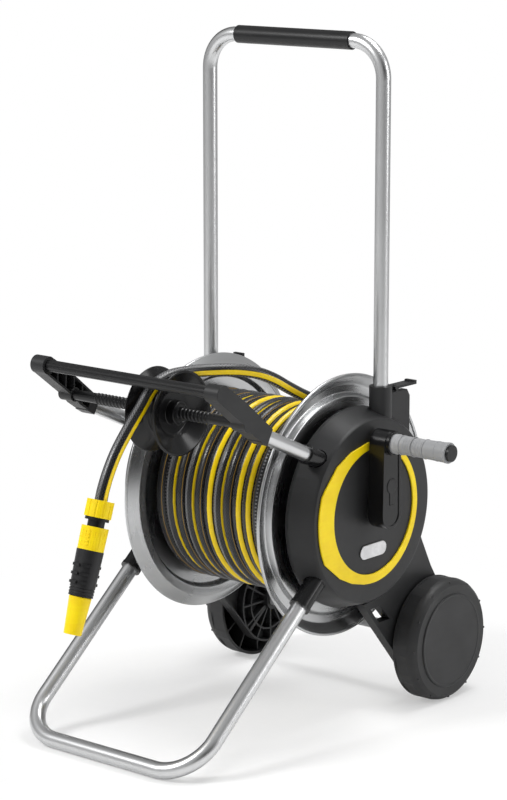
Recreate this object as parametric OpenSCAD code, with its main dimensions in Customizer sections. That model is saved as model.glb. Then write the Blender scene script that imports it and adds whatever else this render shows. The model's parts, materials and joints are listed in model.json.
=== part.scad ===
// Garden hose reel cart: a tube frame on two wheels carries a hose reel with a crank,
// a sliding hose guide on a cross rod, and a telescoping push handle.
// Millimetres. +X is the crank side, -Y the front, +Z up, and the ground is z = 0.

/* [Reel] */
// Height of the reel's axis above the ground
axle_z = 296.5; // [294:0.5:299]
// Rim radius of the two spun flanges
flange_r = 179; // [175:1:184]
// Distance from the mid-plane to a flange's rim
flange_x = 117; // [116:0.5:118]
// Outer radius of the drum that the hose winds on
drum_r = 98; // [94:1:99]
// Outer radius of the wound hose
winding_r = 132; // [128:1:134]
// Outer diameter of the hose
hose_d = 16.5; // [15.5:0.5:16.5]

/* [Push handle] */
// Radius of the push handle's tube
handle_r = 10; // [9.5:0.5:10]
// Height of the handle's top bar above the ground
handle_top_z = 915; // [860:5:940]
// Distance from the mid-plane to each leg of the push handle and of the front leg
leg_x = 150; // [149:0.5:151]
// Bend radius of the push handle's corners
handle_bend = 48; // [40:1:60]

/* [Front leg] */
// Radius of the front leg's tube
leg_r = 11; // [10.5:0.5:11]
// How steeply the front leg rises, in degrees
leg_angle = 39.4; // [38.8:0.2:40]
// Bend radius of the front leg's corners
leg_bend = 60; // [50:1:70]

/* [Side covers] */
// Radius of a side cover's rim
cover_r = 137; // [135:1:138]
// Distance from the mid-plane to a side cover's face
cover_x = 168; // [167:0.5:168]
// Inner radius of the ring on a cover's face
ring_r = 86; // [82:1:88]

/* [Wheels] */
// Wheel radius
wheel_r = 86; // [82:1:88]
// Distance from the reel's axis back to the wheels' axle
wheel_y = 152; // [150:1:156]

/* [Hose guide] */
// Rim radius of the guide roller
roller_r = 56; // [50:1:58]
// Place of the roller along its rod, from the mid-plane
roller_x = 25; // [25:1:25]

/* [Show] */
// The sub-part to draw

/* [Hidden] */
$fn = 64;

// Fits
run_gap = 0.06;      // radial gap of a piece that turns or slides on another
snug_gap = 0.03;     // radial gap of a piece that stays put in another
loose_gap = 0.6;     // radial gap where a tube passes through a cover

// Where the front leg, the push handle and the wheels stand
leg_y = -350;
handle_y = 38;
handle_low_z = 335;
handle_wall = 1.5;
wheel_z = wheel_r;
wheel_in_x = 154;
wheel_out_x = 190;
cap_out_x = 191.8;
crank_end_x = 297;
inlet_end_x = -208;

// The part's own frame has its origin under the middle of everything but the hose and its fittings
origin_x = (crank_end_x + inlet_end_x) / 2;
origin_y = (leg_y - leg_r + wheel_y + wheel_r) / 2;

// Radii of the turning pieces at the reel's centre
spindle_r = 14;
bearing_r = 18;
bearing_out_x = 160;
boss_r = 23;
drive_r = 10;

// Hose guide: the cross rod, the beam in front of it, and the stubs that carry them
rod_y = -249;
rod_z = 453.5;
beam_y = -298;
beam_z = 500;
rod_r = 8;
rod_end_r = 7;
beam_r = 7.8;
bush_r = 12;
stub_r = 10;
stub_in = [-84, 376];
stub_out = [-206, 431];
bracket_in_x = 139;
bracket_out_x = 162;

// Pin of the latch behind each handle socket
latch_y = 61;
latch_z = 452.5;

// Crank
arm_in_x = 175;
arm_out_x = 200;
arm_r = 20;
arm_tip_r = 18.5;
arm_tip_z = axle_z + 95.5;
grip_z = axle_z + 97;
button_z = axle_z + 38.5;
grip_bore_r = 5;

// The nozzle hangs from the hose's end, leaning forward
nozzle_top = [roller_x, -376, 359];
nozzle_tilt = 161.25;
nozzle_axis = [0, -sin(nozzle_tilt), cos(nozzle_tilt)];

// Centre line of the hose from the winding, over the roller and down to its nut
tail_route = [
    [100, 61, 405.5], [99, 32, 419.5], [97, 0, 430], [94, -28, 441], [90.5, -55, 453],
    [85, -80, 467], [79, -101, 480], [72, -123, 490], [62, -146, 496], [52, -168, 499],
    [40, -190, 500], [31, -215, 500.5], [25, -249, 498.5], [25, -277.5, 488.5], [25, -300, 466],
    [25, -324, 442], [25, -346, 417], [25, -361, 394],
    nozzle_top - 15 * nozzle_axis, nozzle_top
];
tail_split = 10;

// ---------------------------------------------------------------- shared shapes

// Moves a piece from reel coordinates into the part's own frame
module in_frame() translate([-origin_x, -origin_y, 0]) children();

// The same shape on both sides
module both_sides() for (side = [0, 1]) mirror([side, 0, 0]) children();

// A cylinder between two points
module rod(a, b, r) {
    d = b - a;
    translate(a)
        rotate([0, acos(d[2] / norm(d)), atan2(d[1], d[0])])
            cylinder(h = norm(d), r = r);
}

// A cylinder along X
module bar_x(y, z, x0, x1, r) {
    translate([x0, y, z])
        rotate([0, 90, 0])
            cylinder(h = x1 - x0, r = r);
}

// A tube along X
module tube_x(y, z, x0, x1, r, bore) {
    difference() {
        bar_x(y, z, x0, x1, r);
        bar_x(y, z, x0 - 1, x1 + 1, bore);
    }
}

// An outline drawn in [y, z], extruded from x0 to x1
module plate_x(x0, x1) {
    translate([x0, 0, 0])
        rotate([90, 0, 90])
            linear_extrude(x1 - x0)
                children();
}

// A profile of [radius, x] points, turned about an X axis at y, z
module spin_x(y, z, profile) {
    translate([0, y, z])
        rotate([0, 90, 0])
            rotate_extrude($fn = 128)
                polygon(profile);
}

// A thin straight wall in 2D from a to b
module strip(a, b, w) {
    d = b - a;
    translate(a)
        rotate(atan2(d[1], d[0]))
            translate([0, -w / 2])
                square([norm(d), w]);
}

// Thin walls along a closed outline, a little longer than each edge so that they meet
module outline_walls(points, w) {
    for (i = [0 : len(points) - 1]) {
        a = points[i];
        b = points[(i + 1) % len(points)];
        lap = 0.45 * w * (b - a) / norm(b - a);
        strip(a - lap, b + lap, w);
    }
}

// A closed ring with a round section, about an X axis
module o_ring_x(y, z, x, ring, cord) {
    translate([x, y, z])
        rotate([0, 90, 0])
            rotate_extrude()
                translate([ring, 0])
                    circle(r = cord, $fn = 24);
}

// A bent bar: straight along X, then two legs towards +Y
module u_path(half, bend, leg, r) {
    straight = half - bend;
    rod([-straight, 0, 0], [straight, 0, 0], r);
    for (side = [-1, 1]) {
        translate([side * straight, bend, 0])
            rotate([0, 0, side > 0 ? -90 : 180])
                rotate_extrude(angle = 90)
                    translate([bend, 0])
                        circle(r = r);
        rod([side * half, bend, 0], [side * half, leg, 0], r);
    }
}

module u_tube(half, bend, leg, r, wall) {
    difference() {
        u_path(half, bend, leg, r);
        u_path(half, bend, leg + 1, r - wall);
    }
}

// A point on the front leg's centre line, at a distance from its bar, in [y, z]
function leg_at(t) = [leg_y + t * cos(leg_angle), leg_r + t * sin(leg_angle)];

// A point on a guide stub's centre line, at a distance from its inner end, in [y, z]
stub_len = norm(stub_out - stub_in);
stub_dir = (stub_out - stub_in) / stub_len;
function stub_at(t) = stub_in + t * stub_dir;

// A cylinder in the plane x, between two [y, z] points
module rod_yz(x, a, b, r) rod([x, a[0], a[1]], [x, b[0], b[1]], r);

// ---------------------------------------------------------------- side covers

strut_outline = [
    [0, 170], [10, 154], [103.4, 46], [152, 86], [190, 136], [157, 186], [137, 224], [118, 262], [40, 230]
];
strut_hole = [[20, 152], [41, 153], [64, 129], [39, 129]];
strut_ring_r = 63;

// The strut that carries the wheels' axle: a flat skin, ribbed on its inner side
module strut() {
    difference() {
        union() {
            plate_x(146, leg_x) {
                polygon(strut_outline);
                translate([wheel_y, wheel_z])
                    circle(r = strut_ring_r);
            }
            plate_x(135, leg_x)
                intersection() {
                    union() {
                        outline_walls(strut_outline, 5);
                        outline_walls(strut_hole, 5);
                        translate([wheel_y, wheel_z]) {
                            difference() {
                                circle(r = strut_ring_r);
                                circle(r = strut_ring_r - 3);
                            }
                            difference() {
                                circle(r = 45);
                                circle(r = 42.5);
                            }
                            for (a = [0 : 30 : 330])
                                rotate(a)
                                    translate([10, -1.25])
                                        square([51, 2.5]);
                        }
                    }
                    union() {
                        polygon(strut_outline);
                        translate([wheel_y, wheel_z])
                            circle(r = strut_ring_r);
                    }
                }
            bar_x(wheel_y, wheel_z, 130, 152, 14);
        }
        plate_x(130, 155)
            polygon(strut_hole);
        bar_x(0, axle_z, 130, 155, cover_r - 2);
    }
}

// The handle's socket: a sleeve, with a flat panel behind it and an ear for the latch
module handle_socket() {
    rod([leg_x, handle_y, 385], [leg_x, handle_y, 459], 15.4);
    plate_x(147, 157)
        polygon([[40, 395], [94, 386], [94, 438], [88, 447.5], [40, 447.5]]);
    difference() {
        plate_x(151, 154.8) {
            translate([latch_y, latch_z])
                circle(r = 4);
            translate([latch_y - 4, latch_z - 6])
                square([8, 6]);
        }
        bar_x(latch_y, latch_z, 145, 160, 1.6 + run_gap);
    }
}

module side_cover() {
    difference() {
        union() {
            spin_x(0, axle_z, [
                [cover_r, 129], [cover_r, 134], [cover_r - 8, 158], [cover_r - 10, 164],
                [cover_r - 13, cover_x - 0.7], [cover_r - 16, cover_x], [spindle_r - 1, cover_x],
                [spindle_r - 1, cover_x - 3], [cover_r - 17, cover_x - 3], [cover_r - 14, 162],
                [cover_r - 11.5, 156], [cover_r - 3.5, 133], [cover_r - 3.5, 129]
            ]);
            bar_x(0, axle_z, 121, cover_x - 1, boss_r);
            for (a = [0 : 30 : 330])
                translate([0, 0, axle_z])
                    rotate([a, 0, 0])
                        translate([148, boss_r - 2, -1.5])
                            cube([18, cover_r - boss_r - 10, 3]);
            strut();
            handle_socket();
        }
        bar_x(0, axle_z, 115, bearing_out_x + 0.2, bearing_r + snug_gap);
        bar_x(0, axle_z, 150, 175, spindle_r + loose_gap);
        bar_x(wheel_y, wheel_z, 125, 155, 6 + snug_gap);
        rod([leg_x, handle_y, 380], [leg_x, handle_y, 470], handle_r + run_gap);
        rod([leg_x, handle_y, axle_z - 125], [leg_x, handle_y, 385.5], handle_r + loose_gap);
        rod_yz(leg_x, leg_at(250), leg_at(329), leg_r + 3.5 + snug_gap);
        rod_yz(leg_x, stub_at(-1), stub_at(60), stub_r + 3 + snug_gap);
    }
}

module right_cover() in_frame() color("#2b2c2e") side_cover();
module left_cover() in_frame() color("#2b2c2e") mirror([1, 0, 0]) side_cover();

// Plain bushings between the covers and the reel's spindles
module reel_bearings() in_frame() color("#d8d6cc") both_sides() {
    tube_x(0, axle_z, 121, bearing_out_x, bearing_r, spindle_r + run_gap);
    tube_x(0, axle_z, 119, 121, 21, spindle_r + run_gap);
}

// The ring on a cover's face: round inside, wider towards the front
module trim_ring() {
    plate_x(cover_x, cover_x + 2.5)
        translate([0, axle_z])
            difference() {
                union() {
                    translate([-1, -2])
                        circle(r = 97, $fn = 128);
                    intersection() {
                        circle(r = 117.5, $fn = 128);
                        polygon([
                            [0, 95], [-14, 96], [-50, 88.5], [-79, 74], [-105.5, 46], [-125, 20], [-125, -20],
                            [-104, -54], [-72, -79], [-46, -91], [-20, -97.5], [0, -98]
                        ]);
                    }
                }
                circle(r = ring_r, $fn = 128);
            }
}

module right_ring() in_frame() color("#f5d800") trim_ring();
module left_ring() in_frame() color("#f5d800") mirror([1, 0, 0]) trim_ring();

// Bare pill-shaped plate on the crank side
module badge_plate() in_frame() color("#c8c9cb") plate_x(cover_x, cover_x + 2)
    translate([0, axle_z - 54]) {
        for (side = [-1, 1])
            translate([side * 18.5, 0])
                circle(r = 9.5);
        translate([-18.5, -9.5])
            square([37, 19]);
    }

// ---------------------------------------------------------------- frame tubes

module leg_tube() in_frame() color("#b9bcc0")
    translate([0, leg_y, leg_r])
        rotate([leg_angle, 0, 0])
            u_tube(leg_x, leg_bend, 326, leg_r, 1.5);

// A smooth clip around a tube's end, with a collar at its outer end a
module tube_clip(a, b, bore, wall) {
    d = (b - a) / norm(b - a);
    difference() {
        union() {
            rod_yz(leg_x, a, b, bore + wall - 0.8);
            rod_yz(leg_x, a, a + 5 * d, bore + wall);
            rod_yz(leg_x, b - 3 * d, b, bore + wall);
        }
        rod_yz(leg_x, a - d, b + d, bore);
    }
}

module leg_clips() in_frame() color("#1d1e20") both_sides()
    tube_clip(leg_at(280), leg_at(326), leg_r + snug_gap, 3.5 - snug_gap);

module stub_clips() in_frame() color("#1d1e20") both_sides()
    tube_clip(stub_at(42), stub_at(0), stub_r + snug_gap, 3 - snug_gap);

// A short tube that carries one end of the hose guide
module guide_stub() {
    difference() {
        rod_yz(leg_x, stub_at(0), stub_out, stub_r);
        rod_yz(leg_x, stub_at(-1), stub_out + stub_dir, stub_r - 1.5);
    }
}

module right_stub() in_frame() color("#b9bcc0") guide_stub();
module left_stub() in_frame() color("#b9bcc0") mirror([1, 0, 0]) guide_stub();

// ---------------------------------------------------------------- hose guide

bracket_outline = [
    [-298, 512], [-287, 507], [-253, 482.5], [-202, 441], [-213, 420.5],
    [-241, 439], [-255, 453], [-306.5, 492]
];

// A channel arm: flat outside, ribbed and open on its inner side
module guide_bracket() {
    difference() {
        union() {
            plate_x(bracket_out_x - 3, bracket_out_x)
                polygon(bracket_outline);
            plate_x(bracket_in_x, bracket_out_x)
                intersection() {
                    polygon(bracket_outline);
                    union() {
                        outline_walls(bracket_outline, 6);
                        for (y = [-280 : 16 : -216])
                            strip([y, 510], [y - 6, 420], 2.5);
                    }
                }
            bar_x(beam_y, beam_z, bracket_in_x, bracket_out_x, 12);
            bar_x(rod_y, rod_z, bracket_in_x, bracket_out_x, 9.5);
            plate_x(bracket_in_x, bracket_out_x)
                polygon([[-202, 441], [-213, 420.5], [-226, 428], [-215, 451]]);
            rod_yz(leg_x, stub_at(stub_len - 18), stub_at(stub_len + 8), stub_r - 1.5 - snug_gap);
        }
        bar_x(beam_y, beam_z, bracket_in_x - 1, bracket_out_x - 3, rod_end_r + snug_gap);
        bar_x(rod_y, rod_z, bracket_in_x - 1, bracket_out_x - 3, rod_end_r + snug_gap);
    }
}

module right_bracket() in_frame() color("#26272a") guide_bracket();
module left_bracket() in_frame() color("#26272a") mirror([1, 0, 0]) guide_bracket();

// The fluted beam in front, round at its ends where the brackets hold it
module guide_beam() in_frame() color("#26272a") {
    bar_x(beam_y, beam_z, -bracket_out_x + 3.5, bracket_out_x - 3.5, rod_end_r);
    plate_x(-bracket_in_x + 0.2, bracket_in_x - 0.2)
        translate([beam_y, beam_z])
            difference() {
                circle(r = beam_r);
                for (a = [0 : 36 : 324])
                    rotate(a)
                        translate([beam_r + 0.3, 0])
                            circle(r = 1.1, $fn = 24);
            }
}

// The cross rod: smooth ends and a ribbed middle that the roller's bush slides on
module guide_rod() in_frame() color("#202124") {
    bar_x(rod_y, rod_z, -bracket_out_x + 3.5, bracket_out_x - 3.5, rod_end_r);
    for (i = [-16 : 16])
        bar_x(rod_y, rod_z, i * 6.2 - 2.1, i * 6.2 + 2.1, rod_r);
}

// ---------------------------------------------------------------- wheels' axle

module axle_tube() in_frame() color("#9fa1a4") tube_x(wheel_y, wheel_z, -129.8, 129.8, 8, 6.4);
module axle_rod() in_frame() color("#b9bcc0") bar_x(wheel_y, wheel_z, -189.5, 189.5, 6);
module axle_clips() in_frame() color("#8f9296") both_sides()
    tube_x(wheel_y, wheel_z, 187.4, 189, 9.5, 6 + snug_gap);

// ---------------------------------------------------------------- water inlet

inlet_x = -195;
inlet_pipe_r = 12;

module inlet_elbow() in_frame() color("#26272a") difference() {
    union() {
        bar_x(0, axle_z, inlet_end_x, -cover_x - 0.2, 20);
        rod([inlet_x, 0, axle_z], [inlet_x, 0, 236], inlet_pipe_r);
    }
    bar_x(0, axle_z, -190, -cover_x + 1, spindle_r + run_gap);
    bar_x(0, axle_z, -203, -189, 10);
    rod([inlet_x, 0, axle_z], [inlet_x, 0, 235], 7 + snug_gap);
}

module inlet_ring() in_frame() color("#26272a")
    tube_x(0, axle_z, -cover_x - 7, -cover_x, 24, 20 + snug_gap);

module inlet_nipple() in_frame() color("#f5d800") difference() {
    union() {
        rod([inlet_x, 0, 228], [inlet_x, 0, 235.9], inlet_pipe_r);
        rod([inlet_x, 0, 235], [inlet_x, 0, 252], 7);
        rod([inlet_x, 0, 206], [inlet_x, 0, 229], 8.5);
    }
    translate([inlet_x, 0, 212])
        rotate_extrude()
            translate([7.6, 0])
                circle(r = 1.15, $fn = 24);
    rod([inlet_x, 0, 205], [inlet_x, 0, 253], 5);
}

module inlet_seal() in_frame() color("#111111")
    translate([inlet_x, 0, 212])
        rotate_extrude()
            translate([7.5, 0])
                circle(r = 0.95, $fn = 24);

// ---------------------------------------------------------------- reel

// Where the water's pipe comes through the drum, below the first turn of the hose
outlet_x = 88;

module drum_core() in_frame() color("#3a3b3e") difference() {
    tube_x(0, axle_z, -111.9, 111.9, drum_r, drum_r - 3);
    rod([outlet_x, 0, axle_z], [outlet_x, 0, axle_z - 110], 9 + snug_gap);
}

// A spun sheet flange with a stepped web and a rolled rim
module flange() {
    difference() {
        union() {
            spin_x(0, axle_z, [
                [flange_r - 1, flange_x], [163, 106], [152, 106], [148, 114], [30, 114],
                [30, 112], [146.6, 112], [150.6, 104], [163.7, 104], [flange_r, flange_x - 2]
            ]);
            o_ring_x(0, axle_z, flange_x - 0.8, flange_r - 2.2, 2.2);
        }
        flange_screw_shafts(2.6);
    }
}

module right_flange() in_frame() color("#c9ccd0") flange();
module left_flange() in_frame() color("#c9ccd0") mirror([1, 0, 0]) flange();

module flange_screw_shafts(r) {
    for (a = [45 : 90 : 315])
        translate([0, 80 * cos(a), axle_z + 80 * sin(a)])
            bar_x(0, 0, 102, 114.5, r);
}

module flange_screws() in_frame() color("#8f9296") both_sides() {
    flange_screw_shafts(2.5);
    for (a = [45 : 90 : 315])
        bar_x(80 * cos(a), axle_z + 80 * sin(a), 114, 117, 4.5);
}

// A disc inside the drum with a spindle out through the cover's bearing
module hub(tip_x) {
    difference() {
        union() {
            bar_x(0, axle_z, 100, 111.9, drum_r - 3 - snug_gap);
            bar_x(0, axle_z, 111, 118.5, 22);
            bar_x(0, axle_z, 111, tip_x, spindle_r);
        }
        tube_x(0, axle_z, 98, 108, drum_r - 10, 32);
        flange_screw_shafts(2.5 + snug_gap);
    }
    for (a = [45 : 90 : 315])
        difference() {
            bar_x(80 * cos(a), axle_z + 80 * sin(a), 100, 111.9, 6);
            flange_screw_shafts(2.5 + snug_gap);
        }
}

module drive_hub() in_frame() color("#35363a") {
    hub(arm_in_x - 0.2);
    bar_x(0, axle_z, 170, 192, drive_r);
}

seal_x = [174, 181];

module water_hub() in_frame() color("#35363a") mirror([1, 0, 0]) difference() {
    hub(188);
    bar_x(0, axle_z, 90, 190, 6);
    for (x = seal_x)
        o_ring_x(0, axle_z, x, spindle_r - 0.9, 1.05);
}

module hub_seals() in_frame() color("#111111") mirror([1, 0, 0])
    for (x = seal_x)
        o_ring_x(0, axle_z, x, spindle_r - 0.9, 0.9);

// The pipe inside the drum, from the water hub to the hose's inner end
module drum_outlet() in_frame() color("#35363a") difference() {
    union() {
        bar_x(0, axle_z, -99.9, outlet_x + 9, 9);
        rod([outlet_x, 0, axle_z], [outlet_x, 0, axle_z - drum_r + 0.6], 9);
    }
    bar_x(0, axle_z, -101, outlet_x, 5.5);
    rod([outlet_x, 0, axle_z], [outlet_x, 0, axle_z - drum_r - 1], 5.5);
}

// The wound hose: two layers, with the outer one short of its last turn
module hose_winding() in_frame() color("#28292b")
    spin_x(0, axle_z, [
        [drum_r + 0.05, -111.5], [winding_r, -111.5], [winding_r, 87], [winding_r - hose_d, 87],
        [winding_r - hose_d, 111.5], [drum_r + 0.05, 111.5]
    ]);

// ---------------------------------------------------------------- crank

// Outline of the crank's arm, drawn smaller by inset
module arm_outline(inset) {
    translate([0, axle_z])
        circle(r = arm_r - inset);
    translate([0, arm_tip_z])
        circle(r = arm_tip_r - inset);
    polygon([
        [inset - arm_r, axle_z], [arm_r - inset, axle_z],
        [arm_tip_r - inset, arm_tip_z], [inset - arm_tip_r, arm_tip_z]
    ]);
}

// Round head with a tongue below, like a keyhole
module keyhole(grow) {
    translate([0, button_z])
        circle(r = 10 + grow);
    translate([-4.5 - grow, button_z - 25 - grow])
        square([9 + 2 * grow, 25]);
}

module crank_arm() in_frame() color("#202124") difference() {
    union() {
        plate_x(arm_in_x, arm_out_x)
            arm_outline(0);
        bar_x(0, grip_z, arm_in_x + 5, arm_out_x + 5, 16.5);
    }
    plate_x(arm_out_x - 1.2, arm_out_x + 1)
        difference() {
            arm_outline(4.5);
            translate([0, grip_z])
                circle(r = 17);
        }
    plate_x(181, arm_out_x + 1)
        keyhole(0.4);
    bar_x(0, axle_z, arm_in_x - 1, 192.2, drive_r + snug_gap);
    bar_x(0, grip_z, arm_out_x, arm_out_x + 6, 14.2);
    bar_x(0, grip_z, arm_in_x + 8, arm_out_x + 1, grip_bore_r + snug_gap);
}

module grip_pin() in_frame() color("#b9bcc0") bar_x(0, grip_z, arm_in_x + 8.2, 291, grip_bore_r);

module crank_button() in_frame() color("#202124")
    plate_x(185, arm_out_x - 0.3)
        keyhole(0);

// The free-turning grip: a swelling at its root, a waist, and a ribbed band
module crank_grip() in_frame() color("#8b8d90")
    spin_x(0, grip_z, concat(
        [[grip_bore_r + run_gap, 293], [grip_bore_r + run_gap, 200.5], [13.5, 200.5], [13.5, 210], [12.6, 213]],
        [for (x = [225 : 4 : 253]) each [[12.6, x], [12.1, x + 0.6], [12.1, x + 1.8], [12.6, x + 2.4]]],
        [[12.8, 262], [13.4, 286], [14, 289], [14, 292], [13.4, 293]]
    ));

module grip_cap() in_frame() color("#3a3b3e") {
    bar_x(0, grip_z, 293, crank_end_x, 11);
    tube_x(0, grip_z, 291.5, 293, 5, 2);
}

// ---------------------------------------------------------------- wheels

module wheel() {
    difference() {
        union() {
            spin_x(wheel_y, wheel_z, [
                [wheel_r, wheel_in_x], [wheel_r, 177], [wheel_r - 1, 182], [wheel_r - 4, 187],
                [wheel_r - 8, wheel_out_x], [12, wheel_out_x], [12, 187.2], [wheel_r - 10, 187.2],
                [wheel_r - 6, 183], [wheel_r - 4, 177], [wheel_r - 4, wheel_in_x]
            ]);
            bar_x(wheel_y, wheel_z, wheel_in_x, 187.2, 16);
            for (a = [0 : 30 : 330])
                translate([0, wheel_y, wheel_z])
                    rotate([a, 0, 0])
                        translate([wheel_in_x + 6, 14, -1.25])
                            cube([28, wheel_r - 17, 2.5]);
        }
        bar_x(wheel_y, wheel_z, wheel_in_x - 1, wheel_out_x + 1, 6 + run_gap);
        for (a = [15 : 30 : 345])
            translate([0, wheel_y, wheel_z])
                rotate([a, 0, 0])
                    translate([157, wheel_r - 1.2, -15])
                        cube([19, 3, 30]);
    }
}

module wheel_cap() {
    spin_x(wheel_y, wheel_z, [
        [0, wheel_out_x + 0.05], [66, wheel_out_x + 0.05], [66, 191], [65.2, cap_out_x],
        [63, cap_out_x], [62.4, 191.2], [0, 191.2]
    ]);
}

module right_wheel() in_frame() color("#303134") wheel();
module left_wheel() in_frame() color("#303134") mirror([1, 0, 0]) wheel();
module right_wheel_cap() in_frame() color("#303134") wheel_cap();
module left_wheel_cap() in_frame() color("#303134") mirror([1, 0, 0]) wheel_cap();

// ---------------------------------------------------------------- push handle

module handle_tube() in_frame() color("#b9bcc0")
    translate([0, handle_y, handle_top_z])
        rotate([-90, 0, 0])
            u_tube(leg_x, handle_bend, handle_top_z - handle_low_z, handle_r, handle_wall);

module handle_sleeve() in_frame() color("#1b1c1e")
    tube_x(handle_y, handle_top_z, -98, 98, handle_r + 2.2, handle_r + snug_gap);

module handle_plugs() in_frame() color("#1b1c1e") both_sides() {
    rod([leg_x, handle_y, handle_low_z - 0.2], [leg_x, handle_y, handle_low_z + 14], handle_r - handle_wall - snug_gap);
    rod([leg_x, handle_y, handle_low_z - 3], [leg_x, handle_y, handle_low_z - 0.1], handle_r - 0.3);
}

// The latch behind each socket: a sprung lever on a cross pin, upturned at its end
module latch() {
    difference() {
        union() {
            translate([144, 56.2, latch_z])
                cube([17, 47.8, 3.5]);
            translate([144, 99, latch_z])
                cube([17, 5, 5.5]);
            bar_x(latch_y, latch_z, 144, 161, 3.2);
        }
        translate([150.4, 52, latch_z - 8])
            cube([5, 14.5, 15]);
    }
    bar_x(latch_y, latch_z, 145, 160, 1.6);
}

module right_latch() in_frame() color("#202124") latch();
module left_latch() in_frame() color("#202124") mirror([1, 0, 0]) latch();

// ---------------------------------------------------------------- roller

module guide_bush() in_frame() color("#d8d6cc")
    tube_x(rod_y, rod_z, roller_x - 22, roller_x + 22, bush_r, rod_r + run_gap);

// One dish of the roller: a flared wall outside, hollow behind, with a boss on the bush
module roller_dish() {
    bore = bush_r + run_gap;
    translate([roller_x, 0, 0])
        spin_x(rod_y, rod_z, [
            [bore, 0.05], [32.5, 0.05], [32.5, 7], [36, 12], [48, 19], [roller_r - 1, 22.5],
            [roller_r, 24], [roller_r - 2, 25], [roller_r - 4, 24.5], [46, 21.5], [34, 15],
            [29, 10], [16, 10], [16, 23], [bore, 23]
        ]);
}

module roller_halves() in_frame() color("#202124") {
    roller_dish();
    translate([2 * roller_x, 0, 0])
        mirror([1, 0, 0])
            roller_dish();
}

// ---------------------------------------------------------------- hose tail

function tail_tangent(i) =
    let (
        before = tail_route[max(i - 1, 0)],
        after = tail_route[min(i + 1, len(tail_route) - 1)]
    )
    (after - before) / norm(after - before);

function tail_ring_point(i, r, a) =
    let (
        along = tail_tangent(i),
        across = [1, 0, 0] - along[0] * along,
        side = across / norm(across),
        up = cross(along, side)
    )
    tail_route[i] + r * (cos(a) * side + sin(a) * up);

// The hose between two points of its route, with flat ends, the first of them set back by a gap
module tail_span(first, last, gap = 0) {
    sides = 12;
    rings = last - first + 1;
    points = [
        for (i = [first : last])
            for (k = [0 : sides - 1])
                tail_ring_point(i, hose_d / 2, 360 * k / sides) + (i == first ? gap : 0) * tail_tangent(i)
    ];
    walls = [
        for (i = [0 : rings - 2])
            for (k = [0 : sides - 1])
                let (
                    n = (k + 1) % sides,
                    near = i * sides,
                    far = near + sides
                )
                each [[near + k, far + k, near + n], [near + n, far + k, far + n]]
    ];
    near_end = [for (k = [0 : sides - 1]) k];
    far_end = [for (k = [sides - 1 : -1 : 0]) (rings - 1) * sides + k];
    polyhedron(points, concat([near_end], walls, [far_end]));
}

module hose_tail_back() in_frame() color("#28292b") tail_span(0, tail_split);
module hose_tail_front() in_frame() color("#28292b") tail_span(tail_split, len(tail_route) - 1, 0.3);

// ---------------------------------------------------------------- connector and nozzle

// Local Z runs down the nozzle's axis from the top of the hose nut
module on_nozzle() translate(nozzle_top) rotate([nozzle_tilt, 0, 0]) children();

// A tube along the nozzle's axis, straight or tapered
module sleeve(s0, s1, r0, r1, bore) {
    difference() {
        translate([0, 0, s0])
            cylinder(h = s1 - s0, r1 = r0, r2 = r1);
        translate([0, 0, s0 - 1])
            cylinder(h = s1 - s0 + 2, r = bore);
    }
}

module hose_nut() in_frame() color("#f5d800") on_nozzle() difference() {
    sleeve(0, 22, 17.5, 17.5, 13);
    for (a = [0 : 30 : 330])
        rotate(a)
            translate([18.2, 0, -1])
                cylinder(h = 24, r = 1.6, $fn = 24);
    translate([0, 0, -1])
        cylinder(h = 1, r = 20);
}

module hose_collet() in_frame() color("#d8d6cc") on_nozzle() sleeve(0.2, 9, 12.9, 12.9, 5.5);

module connector_body() in_frame() color("#26272a") on_nozzle() {
    sleeve(9.3, 22, 12.9, 12.9, 5.5);
    sleeve(22.1, 26, 15.5, 15.5, 5.5);
    sleeve(21, 60, 11, 11, 9.2);
}

module connector_seal() in_frame() color("#111111") on_nozzle()
    translate([0, 0, 54])
        rotate_extrude()
            translate([8.2, 0])
                circle(r = 0.95, $fn = 24);

// Release sleeve: pulled back towards the hose to let the nozzle go
module connector_sleeve() in_frame() color("#f5d800") on_nozzle() difference() {
    sleeve(34, 64, 17.5, 17, 11 + run_gap);
    for (a = [0 : 20 : 340])
        rotate(a)
            translate([18, 0, 40])
                cylinder(h = 20, r = 1.2, $fn = 24);
}

module nozzle_body() in_frame() color("#303134") on_nozzle() difference() {
    union() {
        sleeve(42, 66, 8.3, 8.3, 4.5);
        sleeve(64.2, 123, 10, 10, 4.5);
        sleeve(123, 150, 10, 10, 4.5);
    }
    translate([0, 0, 54])
        rotate_extrude()
            translate([8.2, 0])
                circle(r = 1, $fn = 24);
}

module nozzle_grip() in_frame() color("#232427") on_nozzle() difference() {
    sleeve(64.2, 123, 17.5, 16, 10 + snug_gap);
    for (a = [0 : 60 : 300])
        rotate(a)
            translate([18.5, -2.5, 78])
                cube([5, 5, 32], center = false);
    for (s = [112 : 4 : 120])
        translate([0, 0, s])
            difference() {
                cylinder(h = 1.2, r = 20);
                cylinder(h = 1.2, r = 15.4);
            }
}

module nozzle_tip() in_frame() color("#f5d800") on_nozzle() difference() {
    sleeve(123.4, 172, 14.5, 11.5, 4);
    translate([0, 0, 123])
        cylinder(h = 27.5, r = 10 + run_gap);
}

// ---------------------------------------------------------------- drawing

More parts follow.
